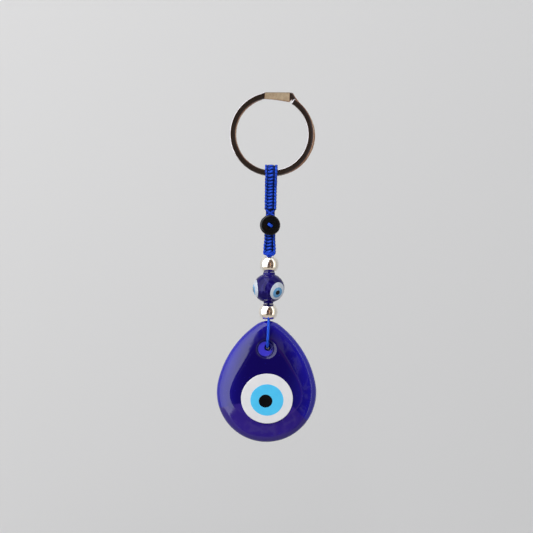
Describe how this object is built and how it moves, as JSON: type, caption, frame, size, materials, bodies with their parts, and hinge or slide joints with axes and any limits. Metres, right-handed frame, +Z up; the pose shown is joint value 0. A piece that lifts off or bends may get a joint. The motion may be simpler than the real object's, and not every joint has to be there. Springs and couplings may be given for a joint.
{
  "type": "evil eye key ring charm",
  "caption": "Split key ring carrying a knotted strap with a button bead, metal and glass beads on a doubled cord, and a hanging glass drop with a concentric eye.",
  "frame": {"origin": "the hang point: the top of the inside of the split ring, midway through its thickness", "axes": "+X to the viewer's right, +Y away from the viewer (the eye faces -Y), +Z up along the hanging charm"},
  "size_m": [0.0332, 0.0105, 0.1167],
  "materials": {
    "split_ring": "polished nickel plate over steel wire",
    "braid_cord": "satin nylon cord, royal blue",
    "button": "glossy black",
    "silver_bead": "polished warm silver plate",
    "cobalt_glass": "fire-polished deep cobalt, nearly opaque",
    "white_glass": "fused opaque white glass",
    "light_blue_glass": "fused opaque light blue glass",
    "black_glass": "fused opaque black glass"
  },
  "bodies": {
    "ring": {"split_ring": "split_ring"},
    "upper_strap": {"strap_braid": "braid_cord", "strap_core_left": "braid_cord", "strap_core_right": "braid_cord"},
    "lower_strap": {"crossing_cord_front": "braid_cord", "crossing_cord_rear": "braid_cord", "lower_braid": "braid_cord", "lower_core_left": "braid_cord", "lower_core_right": "braid_cord", "end_knot": "braid_cord", "button_stitch": "braid_cord"},
    "button": {"button_bead": "button"},
    "bead_string": {"bead_cord_front": "braid_cord", "bead_cord_rear": "braid_cord"},
    "upper_silver": {"upper_silver_bead": "silver_bead"},
    "eye_bead": {"eye_bead_glass": "cobalt_glass", "bead_eye1_white": "white_glass", "bead_eye1_light_blue": "light_blue_glass", "bead_eye1_pupil": "black_glass", "bead_eye2_white": "white_glass", "bead_eye2_light_blue": "light_blue_glass", "bead_eye2_pupil": "black_glass", "bead_eye3_white": "white_glass", "bead_eye3_light_blue": "light_blue_glass", "bead_eye3_pupil": "black_glass"},
    "lower_silver": {"lower_silver_bead": "silver_bead"},
    "drop_loop": {"pendant_cord": "braid_cord"},
    "drop": {"pendant_glass": "cobalt_glass", "pendant_white": "white_glass", "pendant_light_blue": "light_blue_glass", "pendant_pupil": "black_glass"}
  },
  "joints": [
    {"name": "strap_swing", "type": "hinge", "parent": "ring", "child": "upper_strap", "pos_m": [0, 0, -0.025], "axis": [1, 0, 0], "range_deg": [-110, 110]},
    {"name": "strap_sway", "type": "hinge", "parent": "upper_strap", "child": "lower_strap", "pos_m": [0, 0, -0.038], "axis": [0, 1, 0], "range_deg": [-20, 20]},
    {"name": "button_turn", "type": "hinge", "parent": "lower_strap", "child": "button", "pos_m": [0, -0.002, -0.0423], "axis": [0, 1, 0], "continuous": true},
    {"name": "bead_string_bend", "type": "hinge", "parent": "lower_strap", "child": "bead_string", "pos_m": [0, 0, -0.0525], "axis": [1, 0, 0], "range_deg": [-35, 35]},
    {"name": "upper_silver_spin", "type": "hinge", "parent": "bead_string", "child": "upper_silver", "pos_m": [0, 0, -0.0554], "axis": [0, 0, 1], "continuous": true},
    {"name": "eye_bead_spin", "type": "hinge", "parent": "bead_string", "child": "eye_bead", "pos_m": [0, 0, -0.06325], "axis": [0, 0, 1], "continuous": true},
    {"name": "lower_silver_spin", "type": "hinge", "parent": "bead_string", "child": "lower_silver", "pos_m": [0, 0, -0.07115], "axis": [0, 0, 1], "continuous": true},
    {"name": "drop_twist", "type": "hinge", "parent": "bead_string", "child": "drop_loop", "pos_m": [0, 0, -0.0726], "axis": [0, 0, 1], "range_deg": [-180, 180]},
    {"name": "drop_rock", "type": "hinge", "parent": "drop_loop", "child": "drop", "pos_m": [0, 0, -0.0831], "axis": [0, 1, 0], "range_deg": [-25, 25]}
  ]
}
